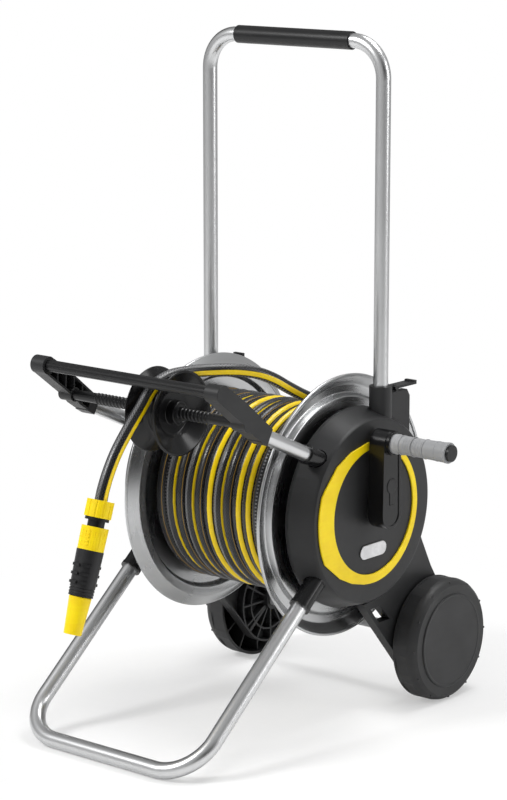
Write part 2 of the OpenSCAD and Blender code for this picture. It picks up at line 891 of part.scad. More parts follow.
right_cover();
left_cover();
reel_bearings();
right_ring();
left_ring();
badge_plate();
leg_tube();
leg_clips();
stub_clips();
right_stub();
left_stub();
right_bracket();
left_bracket();
guide_beam();
guide_rod();
axle_tube();
axle_rod();
axle_clips();
inlet_elbow();
inlet_ring();
inlet_nipple();
inlet_seal();
drum_core();
right_flange();
left_flange();
drive_hub();
water_hub();
hub_seals();
drum_outlet();
flange_screws();
hose_winding();
crank_arm();
grip_pin();
crank_button();
crank_grip();
grip_cap();
right_wheel();
left_wheel();
right_wheel_cap();
left_wheel_cap();
handle_tube();
handle_sleeve();
handle_plugs();
right_latch();
left_latch();
guide_bush();
roller_halves();
hose_tail_back();
hose_tail_front();
hose_nut();
hose_collet();
connector_body();
connector_seal();
connector_sleeve();
nozzle_body();
nozzle_grip();
nozzle_tip();
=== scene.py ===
"""Garden hose reel cart: finishes, wound hose and fine detail over the CAD frame."""

import json
import math

import bmesh
import bpy
from mathutils import Matrix, Vector

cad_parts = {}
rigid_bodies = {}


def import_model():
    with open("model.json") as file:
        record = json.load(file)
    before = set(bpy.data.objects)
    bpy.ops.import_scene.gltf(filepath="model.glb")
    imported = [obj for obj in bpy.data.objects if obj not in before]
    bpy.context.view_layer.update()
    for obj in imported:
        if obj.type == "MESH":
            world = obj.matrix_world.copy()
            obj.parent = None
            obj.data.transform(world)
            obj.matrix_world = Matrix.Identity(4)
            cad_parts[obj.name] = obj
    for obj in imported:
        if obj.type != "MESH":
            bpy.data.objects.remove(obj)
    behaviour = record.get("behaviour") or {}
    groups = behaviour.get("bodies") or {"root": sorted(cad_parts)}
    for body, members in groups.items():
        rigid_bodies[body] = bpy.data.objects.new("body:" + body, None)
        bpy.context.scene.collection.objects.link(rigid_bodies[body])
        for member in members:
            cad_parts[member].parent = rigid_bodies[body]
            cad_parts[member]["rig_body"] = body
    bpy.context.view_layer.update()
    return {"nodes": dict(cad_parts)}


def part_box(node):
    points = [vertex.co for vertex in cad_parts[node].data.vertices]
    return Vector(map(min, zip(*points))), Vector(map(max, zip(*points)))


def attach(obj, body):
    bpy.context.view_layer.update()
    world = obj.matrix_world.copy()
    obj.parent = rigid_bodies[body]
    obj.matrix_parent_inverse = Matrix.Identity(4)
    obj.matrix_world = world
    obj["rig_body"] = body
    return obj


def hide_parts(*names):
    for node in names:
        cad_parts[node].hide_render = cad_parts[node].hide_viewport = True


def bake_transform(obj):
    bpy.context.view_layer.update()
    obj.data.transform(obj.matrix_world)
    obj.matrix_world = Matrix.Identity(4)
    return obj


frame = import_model()
nodes = frame["nodes"]

MM = 0.001


def middle(node):
    """Centre of a CAD node's box."""
    low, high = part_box(node)
    return (Vector(low) + Vector(high)) / 2


# ---------------------------------------------------------------- places taken from the frame

REEL = middle("drum_core")
ROD = middle("guide_rod")


def at(x, y, z):
    """A point given in millimetres from the reel's mid-plane, its axis and the ground."""
    return Vector((REEL.x + x * MM, REEL.y + y * MM, z * MM))


# ---------------------------------------------------------------- camera

CAMERA_PLACE = at(2285, -2769, 1168)
CAMERA_AZIMUTH = math.radians(40.02)
CAMERA_HEIGHT = math.radians(11.69)
CAMERA_LENS = 120.9


def add_camera():
    data = bpy.data.cameras.new("camera")
    data.sensor_width = 36
    data.lens = CAMERA_LENS
    data.clip_end = 60
    data.dof.use_dof = False
    camera = bpy.data.objects.new("camera", data)
    bpy.context.scene.collection.objects.link(camera)
    camera.location = CAMERA_PLACE
    look = Vector((
        -math.sin(CAMERA_AZIMUTH) * math.cos(CAMERA_HEIGHT),
        math.cos(CAMERA_AZIMUTH) * math.cos(CAMERA_HEIGHT),
        -math.sin(CAMERA_HEIGHT),
    ))
    camera.rotation_euler = look.to_track_quat("-Z", "Y").to_euler()
    bpy.context.scene.camera = camera


add_camera()

# ---------------------------------------------------------------- mesh helpers


def mesh_object(name, verts, faces, smooth=True):
    """A new object at the origin from points and faces."""
    mesh = bpy.data.meshes.new(name)
    mesh.from_pydata([tuple(v) for v in verts], [], faces)
    mesh.update()
    if smooth:
        mesh.polygons.foreach_set("use_smooth", [True] * len(mesh.polygons))
    obj = bpy.data.objects.new(name, mesh)
    bpy.context.scene.collection.objects.link(obj)
    return obj


def point_outwards(obj):
    """Merges a closed mesh's doubles and recalculates its normals."""
    bm = bmesh.new()
    bm.from_mesh(obj.data)
    bmesh.ops.remove_doubles(bm, verts=bm.verts, dist=1e-6)
    bmesh.ops.recalc_face_normals(bm, faces=bm.faces)
    bm.to_mesh(obj.data)
    bm.free()


def baked(obj):
    """Turns an object's modifiers into a plain mesh."""
    graph = bpy.context.evaluated_depsgraph_get()
    graph.update()
    mesh = bpy.data.meshes.new_from_object(obj.evaluated_get(graph))
    obj.modifiers.clear()
    obj.data = mesh


def dress(obj, material):
    """Gives a piece one material in all its slots."""
    if not obj.material_slots:
        obj.data.materials.append(material)
    for slot in obj.material_slots:
        slot.material = material


def smooth_line(points, steps):
    """A Catmull-Rom curve through points, with a number of steps to each stretch."""
    line = []
    last = len(points) - 1
    for i in range(last):
        before = points[max(i - 1, 0)]
        a, b = points[i], points[i + 1]
        after = points[min(i + 2, last)]
        for k in range(steps):
            t = k / steps
            line.append(
                0.5 * (
                    2 * a
                    + (b - before) * t
                    + (2 * before - 5 * a + 4 * b - after) * t ** 2
                    + (3 * a - before - 3 * b + after) * t ** 3
                )
            )
    line.append(points[-1].copy())
    return line


def tube_faces(steps, sides):
    """Faces of a closed round tube whose rings of points follow one another: its walls, then its two ends."""
    faces = []
    for i in range(steps):
        near, far = i * sides, (i + 1) * sides
        for k in range(sides):
            n = (k + 1) % sides
            faces.append((near + k, near + n, far + n, far + k))
    ends = [tuple(reversed(range(sides))), tuple(steps * sides + k for k in range(sides))]
    return faces + ends


def sweep(name, line, radius, sides, facing, shift):
    """A round tube along a line.

    Its UV map has U once round from the facing direction, plus a shift, and V in metres along.
    """
    verts = []
    lengths = [0.0]
    for a, b in zip(line, line[1:]):
        lengths.append(lengths[-1] + (b - a).length)
    last = len(line) - 1
    for i, point in enumerate(line):
        along = (line[min(i + 1, last)] - line[max(i - 1, 0)]).normalized()
        side = facing(i)
        side = (side - along * side.dot(along)).normalized()
        up = along.cross(side)
        for k in range(sides):
            angle = 2 * math.pi * k / sides
            verts.append(point + radius * (math.cos(angle) * side + math.sin(angle) * up))
    obj = mesh_object(name, verts, tube_faces(last, sides))
    uv = obj.data.uv_layers.new(name="along")
    for f in range(last * sides):
        i, k = divmod(f, sides)
        for loop, (du, dv) in zip(obj.data.polygons[f].loop_indices, ((0, 0), (1, 0), (1, 1), (0, 1))):
            uv.data[loop].uv = ((k + du) / sides + shift(i + dv), lengths[i + dv])
    return obj


def eased(corners, reach):
    """A closed outline of (radius, x) corners, in millimetres, with each corner rounded."""
    outline = []
    for i, corner in enumerate(corners):
        corner = Vector(corner)
        before = Vector(corners[i - 1]) - corner
        after = Vector(corners[(i + 1) % len(corners)]) - corner
        a = corner + before.normalized() * min(reach, before.length * 0.45)
        b = corner + after.normalized() * min(reach, after.length * 0.45)
        for t in (0, 0.25, 0.5, 0.75, 1):
            outline.append(a * (1 - t) ** 2 + corner * 2 * t * (1 - t) + b * t ** 2)
    return outline


def lathe(name, outlines, sides, way):
    """Closed outlines of (radius, x) in millimetres, spun round the reel's axis.

    The way is 1 where x runs towards +X and -1 where it runs towards -X.
    """
    verts, faces = [], []
    for outline in outlines:
        start, count = len(verts), len(outline)
        for s in range(sides):
            angle = 2 * math.pi * s / sides
            for radius, x in outline:
                spun = Vector((way * x, radius * math.cos(angle), radius * math.sin(angle)))
                verts.append(REEL + MM * spun)
        for s in range(sides):
            here, there = start + s * count, start + (s + 1) % sides * count
            for k in range(count):
                n = (k + 1) % count
                faces.append((here + k, here + n, there + n, there + k))
    obj = mesh_object(name, verts, faces)
    point_outwards(obj)
    return obj


def rounded(node, width, material, sharpest=32):
    """A copy of a CAD node with its edges rounded, which stands for that node."""
    source = nodes[node]
    bm = bmesh.new()
    bm.from_mesh(source.data)
    bmesh.ops.remove_doubles(bm, verts=bm.verts, dist=0.01 * MM)
    bmesh.ops.dissolve_limit(bm, angle_limit=math.radians(0.8), verts=bm.verts, edges=bm.edges)
    mesh = bpy.data.meshes.new(node + "_rounded")
    bm.to_mesh(mesh)
    bm.free()
    mesh.materials.clear()
    mesh.polygons.foreach_set("use_smooth", [True] * len(mesh.polygons))
    mesh.set_sharp_from_angle(angle=math.radians(sharpest))
    copy = bpy.data.objects.new(node + "_rounded", mesh)
    bpy.context.scene.collection.objects.link(copy)
    bevel = copy.modifiers.new("round", "BEVEL")
    bevel.width = width
    bevel.segments = 2
    bevel.limit_method = "ANGLE"
    bevel.angle_limit = math.radians(sharpest)
    even = copy.modifiers.new("even_shading", "WEIGHTED_NORMAL")
    even.keep_sharp = True
    even.weight = 90
    baked(copy)
    dress(copy, material)
    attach(copy, source["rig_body"])
    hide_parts(node)
    return copy


# ---------------------------------------------------------------- material helpers


def new_material(name):
    material = bpy.data.materials.new(name)
    material.use_nodes = True
    tree = material.node_tree
    return material, tree, tree.nodes["Principled BSDF"]


def value_node(tree, kind, inputs=(), **settings):
    """Adds a node, sets its properties, and links or sets the inputs that are given."""
    node = tree.nodes.new(kind)
    for key, value in settings.items():
        setattr(node, key, value)
    for key, value in dict(inputs).items():
        if isinstance(value, bpy.types.NodeSocket):
            tree.links.new(value, node.inputs[key])
        else:
            node.inputs[key].default_value = value
    return node


def maths(tree, operation, a, b=0.0):
    return value_node(tree, "ShaderNodeMath", {0: a, 1: b}, operation=operation).outputs[0]


def mixed(tree, factor, a, b):
    """A blend of two colours."""
    node = value_node(tree, "ShaderNodeMix", data_type="RGBA")
    for key, value in (("Factor", factor), ("A", a), ("B", b)):
        socket = next(s for s in node.inputs if s.name == key and s.enabled)
        if isinstance(value, bpy.types.NodeSocket):
            tree.links.new(value, socket)
        else:
            socket.default_value = value
    return next(s for s in node.outputs if s.enabled)


def spread(tree, value, low, high, to_low, to_high):
    """Maps a value from one range to another, clamped."""
    inputs = {"Value": value, "From Min": low, "From Max": high, "To Min": to_low, "To Max": to_high}
    return value_node(tree, "ShaderNodeMapRange", inputs).outputs[0]


def object_place(tree):
    return value_node(tree, "ShaderNodeTexCoord").outputs["Object"]


def noise(tree, place, scale, detail):
    inputs = {"Vector": place, "Scale": scale, "Detail": detail, "Roughness": 0.55}
    return value_node(tree, "ShaderNodeTexNoise", inputs).outputs[0]


def stretched(tree, place, scale):
    return value_node(tree, "ShaderNodeMapping", {"Vector": place, "Scale": scale}).outputs[0]


def bumped(tree, shader, height, strength, depth):
    """Gives a shader a bump from a height."""
    inputs = {"Height": height, "Strength": strength, "Distance": depth}
    bump = value_node(tree, "ShaderNodeBump", inputs).outputs[0]
    tree.links.new(bump, shader.inputs["Normal"])


def finish(tree, shader, **inputs):
    """Links or sets a shader's inputs, named with underscores for spaces."""
    for key, value in inputs.items():
        socket = shader.inputs[key.replace("_", " ")]
        if isinstance(value, bpy.types.NodeSocket):
            tree.links.new(value, socket)
        else:
            socket.default_value = value


def shade(colour, factor):
    return tuple(min(1.0, c * factor) for c in colour[:3]) + (1.0,)


# ---------------------------------------------------------------- finishes


def moulded_plastic(name, colour, roughness, grain=0.12, sheen_of_use=0.06):
    """Moulded plastic: a fine spark-eroded grain, faint flow marks, and places rubbed a little smoother."""
    material, tree, shader = new_material(name)
    place = object_place(tree)
    clouds = noise(tree, place, 14.0, 4.0)
    flow = noise(tree, stretched(tree, place, (3, 3, 22)), 5.0, 2.0)
    rubbed = spread(tree, clouds, 0.35, 0.7, 0.0, 1.0)
    base = mixed(tree, rubbed, shade(colour, 0.9), shade(colour, 1.12))
    flow_marks = spread(tree, flow, 0.4, 0.8, 0.0, 0.35)
    smoother = spread(tree, clouds, 0.3, 0.75, roughness + sheen_of_use, roughness - sheen_of_use)
    finish(
        tree, shader, Base_Color=mixed(tree, flow_marks, base, shade(colour, 1.3)),
        Roughness=smoother, Specular_IOR_Level=0.3,
    )
    bumped(tree, shader, noise(tree, place, 2600.0, 2.0), grain, 0.00012)
    return material


def drawn_tube(name, colour, roughness):
    """Satin drawn aluminium: hair-fine lines, slight clouding of the anodised skin, a few handling scuffs."""
    material, tree, shader = new_material(name)
    place = object_place(tree)
    lines = noise(tree, stretched(tree, place, (700, 700, 160)), 1.0, 2.0)
    clouds = spread(tree, noise(tree, place, 16.0, 4.0), 0.3, 0.7, 0.0, 1.0)
    marks = noise(tree, stretched(tree, place, (60, 60, 200)), 1.0, 6.0)
    scuffs = spread(tree, marks, 0.69, 0.73, 0.0, 1.0)
    tone = mixed(tree, clouds, shade(colour, 0.97), shade(colour, 1.02))
    worn = mixed(tree, maths(tree, "MULTIPLY", scuffs, 0.15), tone, shade(colour, 0.75))
    rough = spread(tree, lines, 0.3, 0.7, roughness - 0.01, roughness + 0.015)
    rough = maths(tree, "ADD", rough, maths(tree, "MULTIPLY", scuffs, 0.06))
    finish(tree, shader, Base_Color=worn, Metallic=1.0, Roughness=rough)
    bumped(tree, shader, lines, 0.008, 0.00005)
    return material


def spun_sheet(name, colour, roughness):
    """Spun sheet: fine lathe lines round the reel's axis, in the roughness, the tone and the bump."""
    material, tree, shader = new_material(name)
    place = object_place(tree)
    x, y, z = value_node(tree, "ShaderNodeSeparateXYZ", {0: place}).outputs
    y = maths(tree, "SUBTRACT", y, REEL.y)
    z = maths(tree, "SUBTRACT", z, REEL.z)
    squares = maths(tree, "ADD", maths(tree, "MULTIPLY", y, y), maths(tree, "MULTIPLY", z, z))
    ring = value_node(tree, "ShaderNodeCombineXYZ", {0: maths(tree, "SQRT", squares), 1: x}).outputs[0]
    lines = noise(tree, ring, 200.0, 2.0)
    patches = noise(tree, place, 7.0, 2.0)
    tone = mixed(tree, spread(tree, lines, 0.3, 0.7, 0.0, 1.0), shade(colour, 0.97), shade(colour, 1.02))
    rough = spread(tree, lines, 0.3, 0.7, roughness - 0.01, roughness + 0.01)
    rough = maths(tree, "ADD", rough, spread(tree, patches, 0.3, 0.7, -0.02, 0.03))
    finish(tree, shader, Base_Color=tone, Metallic=1.0, Roughness=rough)
    bumped(tree, shader, lines, 0.01, 0.0001)
    return material


def soft_rubber(name, colour, roughness, pores):
    """Soft rubber or foam: matt, finely pored, a little dusty."""
    material, tree, shader = new_material(name)
    place = object_place(tree)
    dust = noise(tree, place, 30.0, 5.0)
    dusty = spread(tree, dust, 0.45, 0.75, 0.0, 1.0)
    finish(
        tree, shader, Base_Color=mixed(tree, dusty, shade(colour, 1.0), shade(colour, 1.35)),
        Roughness=spread(tree, dust, 0.3, 0.7, roughness - 0.05, roughness + 0.06), Specular_IOR_Level=0.35,
    )
    bumped(tree, shader, noise(tree, place, 1500.0, 3.0), pores, 0.00025)
    return material


def bright_steel(name, colour, roughness):
    """Plain turned or rolled steel with a light brush and specks."""
    material, tree, shader = new_material(name)
    place = object_place(tree)
    brush = noise(tree, stretched(tree, place, (60, 900, 900)), 1.0, 2.0)
    specks = spread(tree, noise(tree, place, 90.0, 5.0), 0.4, 0.7, 0.0, 1.0)
    finish(
        tree, shader, Base_Color=mixed(tree, specks, shade(colour, 0.85), shade(colour, 1.05)), Metallic=1.0,
        Roughness=spread(tree, brush, 0.3, 0.7, roughness - 0.06, roughness + 0.08),
    )
    bumped(tree, shader, brush, 0.08, 0.00005)
    return material


# The hose's stripes, and its bands and dots of painted sheen, as (place, half width), both in turns round the
# hose
YELLOW_BAND = (0.0, 0.065)
AMBER_LINE = (0.5, 0.006)
# Grey bands: painted sheen, pale grey strips round the hose in place of the light caught by its skin
PAINTED_SHEEN_BANDS = ((0.25, 0.05), (0.8, 0.06))
# Dotted lines: painted sheen, small grey dots along the hose in place of glints on its knit
PAINTED_SHEEN_DOTS = ((0.88, 0.03), (0.38, 0.03))
STRIPE_SOFTNESS = 0.006
KNIT_ROW = 4.6 * MM
KNIT_WALES = 14


def stripe(tree, u, place, half_width):
    """1 inside a stripe that runs along the hose, 0 outside."""
    shifted = maths(tree, "FRACT", maths(tree, "SUBTRACT", u, place - 0.5))
    away = maths(tree, "ABSOLUTE", maths(tree, "SUBTRACT", shifted, 0.5))
    return spread(tree, away, half_width - STRIPE_SOFTNESS, half_width + STRIPE_SOFTNESS, 1.0, 0.0)


def stripe_pair(tree, u, pair):
    return maths(tree, "MAXIMUM", *(stripe(tree, u, *one) for one in pair))


def hose_skin(name):
    """Garden hose: a knitted black tube under a clear skin, with yellow and amber stripes, and grey bands and
    grey dots of painted sheen.
    """
    material, tree, shader = new_material(name)
    uv = value_node(tree, "ShaderNodeUVMap", uv_map="along").outputs[0]
    u, v = value_node(tree, "ShaderNodeSeparateXYZ", {0: uv}).outputs[:2]
    rows = maths(tree, "SINE", maths(tree, "MULTIPLY", v, 2 * math.pi / KNIT_ROW))
    wales = maths(tree, "SINE", maths(tree, "MULTIPLY", u, 2 * math.pi * KNIT_WALES))
    knit = spread(tree, maths(tree, "MULTIPLY", rows, wales), 0.05, 0.45, 0.0, 1.0)
    dark = mixed(tree, knit, (0.004, 0.004, 0.0045, 1), (0.035, 0.036, 0.039, 1))
    # The pale grey of the painted sheen bands, dotted dark by the knit
    pale = mixed(tree, knit, (0.17, 0.17, 0.175, 1), (0.006, 0.006, 0.007, 1))
    # Dots of painted sheen along two lines, broken up by the knit's rows
    dashes = spread(tree, rows, -0.1, 0.5, 0.0, 1.0)
    sheen_dots = maths(tree, "MULTIPLY", dashes, stripe_pair(tree, u, PAINTED_SHEEN_DOTS))
    # The painted sheen bands laid over the dark knit
    colour = mixed(tree, stripe_pair(tree, u, PAINTED_SHEEN_BANDS), dark, pale)
    colour = mixed(tree, maths(tree, "MULTIPLY", sheen_dots, 0.6), colour, (0.3, 0.3, 0.31, 1))
    colour = mixed(tree, stripe(tree, u, *AMBER_LINE), colour, (0.4, 0.22, 0.01, 1))
    stains = spread(tree, noise(tree, object_place(tree), 40.0, 4.0), 0.4, 0.75, 0.0, 1.0)
    yellow = mixed(tree, stains, (0.95, 0.68, 0.003, 1), (0.88, 0.6, 0.003, 1))
    band = stripe(tree, u, *YELLOW_BAND)
    finish(
        tree, shader, Base_Color=mixed(tree, band, colour, yellow),
        Roughness=spread(tree, stains, 0.0, 1.0, 0.26, 0.38), Specular_IOR_Level=0.35,
        Coat_Weight=0.12, Coat_Roughness=0.15,
    )
    knit_height = maths(tree, "MULTIPLY", knit, maths(tree, "SUBTRACT", 1.0, band))
    bumped(tree, shader, knit_height, 0.25, 0.00025)
    return material


BRIGHT_YELLOW = (0.93, 0.66, 0.004)
COVER_BLACK = (0.019, 0.0192, 0.02)
ARM_BLACK = (0.0095, 0.0096, 0.0102)
GLOSS_BLACK = (0.006, 0.006, 0.0065)
WHEEL_BLACK = (0.026, 0.0262, 0.027)

matt_black = moulded_plastic("matt_black_moulding", COVER_BLACK, 0.42)
arm_black = moulded_plastic("satin_black_moulding", ARM_BLACK, 0.3, grain=0.05)
gloss_black = moulded_plastic("gloss_black_moulding", GLOSS_BLACK, 0.2, grain=0.02, sheen_of_use=0.03)
wheel_black = moulded_plastic("wheel_moulding", WHEEL_BLACK, 0.46, grain=0.2)
yellow_plastic = moulded_plastic("yellow_moulding", BRIGHT_YELLOW, 0.36, grain=0.05)
pale_plastic = moulded_plastic("natural_moulding", (0.6, 0.58, 0.52), 0.4, grain=0.05)
grey_plastic = moulded_plastic("grey_moulding", (0.3, 0.305, 0.31), 0.42, grain=0.08)
grip_rubber = soft_rubber("grey_grip_rubber", (0.27, 0.273, 0.28), 0.5, pores=0.1)
black_rubber = soft_rubber("black_rubber", (0.011, 0.011, 0.012), 0.42, pores=0.1)
sleeve_foam = soft_rubber("handle_sleeve_rubber", (0.007, 0.007, 0.0075), 0.36, pores=0.15)
tube_metal = drawn_tube("satin_tube", (0.6, 0.605, 0.61), 0.3)
flange_metal = spun_sheet("spun_sheet", (0.47, 0.475, 0.48), 0.27)
plain_steel = bright_steel("plain_steel", (0.55, 0.56, 0.57), 0.3)
badge_metal = bright_steel("badge_satin", (0.66, 0.66, 0.67), 0.35)
hose_rubber = hose_skin("hose_skin")

# ---------------------------------------------------------------- hose

HOSE_RADIUS = 8.25 * MM
OUTER_TURN_RADIUS = 123.9 * MM
INNER_TURN_RADIUS = 106.9 * MM
COIL_END_X = 100 * MM
COIL_START_X = 103 * MM
INNER_TURNS = 12
OUTER_TURNS = 12
STEPS_A_TURN = 48
START_ANGLE = -math.pi / 2
LEAVE_ANGLE = math.atan2(109, 61)

# Where the yellow stripe lies on the front of each outer turn, in turns round the hose, from -X to +X
FRONT_STRIPES = (0.58, 0.2, 0.62, 0.2, 0.61, 0.1, 0.21, 0.64, 0.1, 0.1, 0.42, 0.6)
INNER_STRIPE_STEP = 0.43
# The stripes change their place in the first third of a turn, counted from behind and below the reel
TURN_STARTS = 70
STRIPE_CHANGES_A_TURN = 3
# On the free hose this side also puts the painted sheen band along the hose's top
FREE_STRIPE_SIDE = Vector((0.85, -0.1, -0.25))

NOZZLE_TILT = math.radians(161.25)
NOZZLE_AXIS = Vector((0, -math.sin(NOZZLE_TILT), math.cos(NOZZLE_TILT)))
NOZZLE_TOP = at(25, -376, 359)
STRAIGHT_END = 15 * MM

TAIL_ROUTE = [at(*p) for p in (
    (100, 61, 405.5), (99, 32, 419.5), (97, 0, 430), (94, -28, 441), (90.5, -55, 453),
    (85, -80, 467), (79, -101, 480), (72, -123, 490), (62, -146, 496), (52, -168, 499),
    (40, -190, 500), (31, -215, 500.5), (25, -249, 498.5), (25, -277.5, 488.5), (25, -300, 466),
    (25, -324, 442), (25, -346, 417), (25, -361, 394),
)] + [NOZZLE_TOP - STRAIGHT_END * NOZZLE_AXIS, NOZZLE_TOP]


def coil_line():
    """The wound hose's line and the angle of each of its points.

    An inner layer runs towards -X, climbs, and an outer layer runs back to where the tail leaves.
    """
    line = []
    angles = []
    inner_angle = 2 * math.pi * INNER_TURNS
    outer_angle = 2 * math.pi * OUTER_TURNS
    climb_angle = LEAVE_ANGLE - START_ANGLE
    total = inner_angle + climb_angle + outer_angle
    steps = round(total / (2 * math.pi) * STEPS_A_TURN)
    left_x = -COIL_START_X
    for i in range(steps + 1):
        turned = total * i / steps
        if turned <= inner_angle:
            x = COIL_START_X + (left_x - COIL_START_X) * turned / inner_angle
            radius = INNER_TURN_RADIUS
        elif turned <= inner_angle + climb_angle:
            climb = (turned - inner_angle) / climb_angle
            x = left_x
            rise = 3 * climb ** 2 - 2 * climb ** 3
            radius = INNER_TURN_RADIUS + (OUTER_TURN_RADIUS - INNER_TURN_RADIUS) * rise
        else:
            share = (turned - inner_angle - climb_angle) / outer_angle
            x = left_x + (COIL_END_X - left_x) * share
            radius = OUTER_TURN_RADIUS
        angle = START_ANGLE + turned
        angles.append(angle)
        line.append(REEL + Vector((x, radius * math.cos(angle), radius * math.sin(angle))))
    return line, angles


def front_stripe(turn):
    """Where the yellow stripe lies on the front of a turn, in turns round the hose."""
    if turn < INNER_TURNS:
        return INNER_STRIPE_STEP * turn
    return FRONT_STRIPES[min(turn - INNER_TURNS, len(FRONT_STRIPES) - 1)]


def stripe_shift(angle):
    """How far the stripes are turned round the hose: steady over a turn's front, changing behind the reel."""
    turns = (math.degrees(angle) + TURN_STARTS) / 360
    turn = math.floor(turns)
    share = min(1.0, (turns - turn) * STRIPE_CHANGES_A_TURN)
    step = (front_stripe(turn) - front_stripe(turn - 1) + 0.5) % 1 - 0.5
    return front_stripe(turn) - step * (1 - share * share * (3 - 2 * share))


def wound_hose():
    line, angles = coil_line()
    coil = sweep(
        "wound_hose", line, HOSE_RADIUS, 14,
        lambda i: Vector((0, math.cos(angles[i]), math.sin(angles[i]))),
        lambda i: stripe_shift(angles[i]),
    )
    dress(coil, hose_rubber)
    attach(coil, "reel")
    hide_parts("hose_winding")


def free_hose():
    line = smooth_line(TAIL_ROUTE, 5)
    tail = sweep("free_hose", line, HOSE_RADIUS, 24, lambda i: FREE_STRIPE_SIDE, lambda i: 0.0)
    dress(tail, hose_rubber)
    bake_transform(tail)
    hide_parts("hose_tail_back", "hose_tail_front")


# ---------------------------------------------------------------- flanges

# The sheet's section as (radius, x): a stepped web and a sloping outer band
SHEET = [
    (30, 114), (147.6, 114), (151.8, 106), (163, 106), (177.5, 116.6),
    (178.6, 115.2), (163.7, 104), (150.6, 104), (146.4, 112), (30, 112),
]
SHEET_EASE = 1.6
EDGE_CENTRE = (176.8, 116.2)
EDGE_RADIUS = 2.2
EDGE_SIDES = 16


def rolled_edge():
    """The outline of the sheet's rolled edge."""
    angles = (2 * math.pi * k / EDGE_SIDES for k in range(EDGE_SIDES))
    radius, x = EDGE_CENTRE
    return [(radius + EDGE_RADIUS * math.cos(a), x + EDGE_RADIUS * math.sin(a)) for a in angles]


def spun_flange(name, way):
    sheet = lathe(name + "_spun", [eased(SHEET, SHEET_EASE), rolled_edge()], 192, way)
    dress(sheet, flange_metal)
    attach(sheet, "reel")
    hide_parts(name)


spun_flange("right_flange", 1)
spun_flange("left_flange", -1)

# ---------------------------------------------------------------- finishes of the frame's own pieces

FINISHES = {
    matt_black: (
        "right_cover", "left_cover", "right_bracket", "left_bracket", "inlet_elbow", "inlet_ring",
        "drum_core", "drive_hub", "water_hub", "drum_outlet", "handle_plugs",
    ),
    arm_black: (
        "guide_beam", "guide_rod", "crank_button", "right_latch", "left_latch", "guide_bush",
        "connector_body", "nozzle_body", "grip_cap",
    ),
    gloss_black: ("leg_clips", "stub_clips", "crank_arm", "roller_halves"),
    wheel_black: ("right_wheel", "left_wheel", "right_wheel_cap", "left_wheel_cap"),
    yellow_plastic: (
        "right_ring", "left_ring", "inlet_nipple", "hose_nut", "connector_sleeve", "nozzle_tip",
    ),
    pale_plastic: ("reel_bearings", "hose_collet"),
    grey_plastic: ("axle_tube",),
    grip_rubber: ("crank_grip",),
    black_rubber: ("inlet_seal", "hub_seals", "connector_seal", "nozzle_grip"),
    sleeve_foam: ("handle_sleeve",),
    tube_metal: ("leg_tube", "right_stub", "left_stub", "handle_tube"),
    plain_steel: ("axle_rod", "axle_clips", "flange_screws", "grip_pin"),
    badge_metal: ("badge_plate",),
}

# The moulded pieces whose edges are rounded, by the rounding's width in millimetres
ROUNDINGS = {
    2.0: ("crank_arm",),
    1.5: ("right_bracket", "left_bracket", "right_wheel", "left_wheel"),
    1.2: ("right_cover", "left_cover", "guide_beam"),
    1.0: ("crank_button",),
    0.8: ("connector_sleeve", "nozzle_tip", "roller_halves"),
    0.6: (
        "right_latch", "left_latch", "connector_body", "hose_nut", "nozzle_body", "nozzle_grip",
        "right_ring", "left_ring", "crank_grip",
    ),
    0.5: ("right_wheel_cap", "left_wheel_cap", "badge_plate"),
}
ROUNDED = {name: width * MM for width, names in ROUNDINGS.items() for name in names}

for material, names in FINISHES.items():
    for name in names:
        if name in ROUNDED:
            rounded(name, ROUNDED[name], material)
        else:
            dress(nodes[name], material)

wound_hose()
free_hose()

# ---------------------------------------------------------------- guide rod

ROD_CORE_RADIUS = 6.9
RIB_HEIGHT = 1.05
RIB_PITCH = 6.2 * MM
RIB_REACH = 100 * MM
RIB_FADE = 3 * MM
RIB_SHARPNESS = 0.7


def spiral_rod():
    """The guide rod, with a fine spiral rib over its middle and plain ends."""
    low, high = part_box("guide_rod")
    middle_x = (low[0] + high[0]) / 2
    steps, sides = 520, 28
    verts = []
    for i in range(steps + 1):
        x = low[0] + (high[0] - low[0]) * i / steps
        inside = max(0.0, min(1.0, (RIB_REACH - abs(x - middle_x)) / RIB_FADE))
        for k in range(sides):
            turn = k / sides
            wave = math.cos(2 * math.pi * ((x - middle_x) / RIB_PITCH - turn))
            rib = max(0.0, wave) ** RIB_SHARPNESS
            radius = (ROD_CORE_RADIUS + RIB_HEIGHT * inside * rib) * MM
            angle = 2 * math.pi * turn
            verts.append((x, ROD.y + radius * math.cos(angle), ROD.z + radius * math.sin(angle)))
    rod = mesh_object("spiral_rod", verts, tube_faces(steps, sides))
    point_outwards(rod)
    dress(rod, arm_black)
    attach(rod, "frame")
    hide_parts("guide_rod")


spiral_rod()

# ---------------------------------------------------------------- repeated details, by geometry nodes

ROW = (("Count", "NodeSocketInt"), ("Spacing", "NodeSocketFloat"))
PLACING = (("Place", "NodeSocketVector"), ("Turn", "NodeSocketVector"), ("Finish", "NodeSocketMaterial"))


def node_tree(name, inputs):
    """A geometry node tree with named inputs, its group input's outputs and its output node."""
    tree = bpy.data.node_groups.new(name, "GeometryNodeTree")
    for label, kind in inputs:
        tree.interface.new_socket(label, in_out="INPUT", socket_type=kind)
    tree.interface.new_socket("Geometry", in_out="OUTPUT", socket_type="NodeSocketGeometry")
    return tree, tree.nodes.new("NodeGroupInput").outputs, tree.nodes.new("NodeGroupOutput")


def circle(tree, points, radius):
    inputs = {"Resolution": points, "Radius": radius}
    return value_node(tree, "GeometryNodeCurvePrimitiveCircle", inputs).outputs["Curve"]


